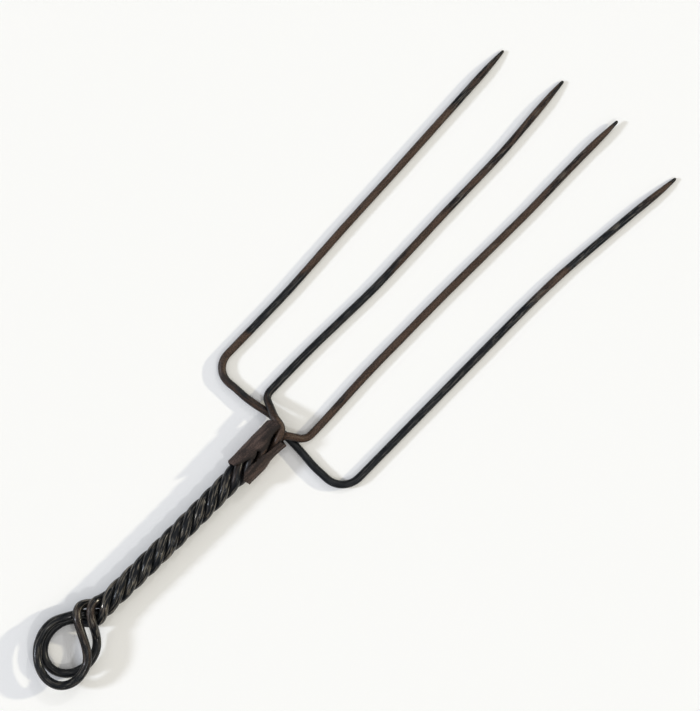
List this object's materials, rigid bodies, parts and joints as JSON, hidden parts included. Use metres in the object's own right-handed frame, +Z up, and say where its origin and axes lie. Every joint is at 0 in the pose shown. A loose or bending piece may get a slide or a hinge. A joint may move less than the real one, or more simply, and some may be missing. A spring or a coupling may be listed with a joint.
{
  "type": "flesh fork",
  "caption": "Wire flesh fork for lifting meat from a pot: long pointed tines cranked out of a sheet-iron clasp, a twisted wire grip and a looped hanging ring.",
  "frame": {"origin": "under the middle of the fork's box, on the table that it lies on", "axes": "+X to the right seen from the ring, +Y from the hanging ring to the points, +Z up off the table"},
  "size_m": [0.1188, 0.4407, 0.015],
  "materials": {
    "wire": "blue-black iron wire, rubbed and lightly rusted",
    "sheet": "brown, dull sheet iron"
  },
  "bodies": {
    "root": {"inner_tine_wire": "wire", "outer_tine_wire": "wire", "clasp": "sheet"}
  },
  "joints": []
}
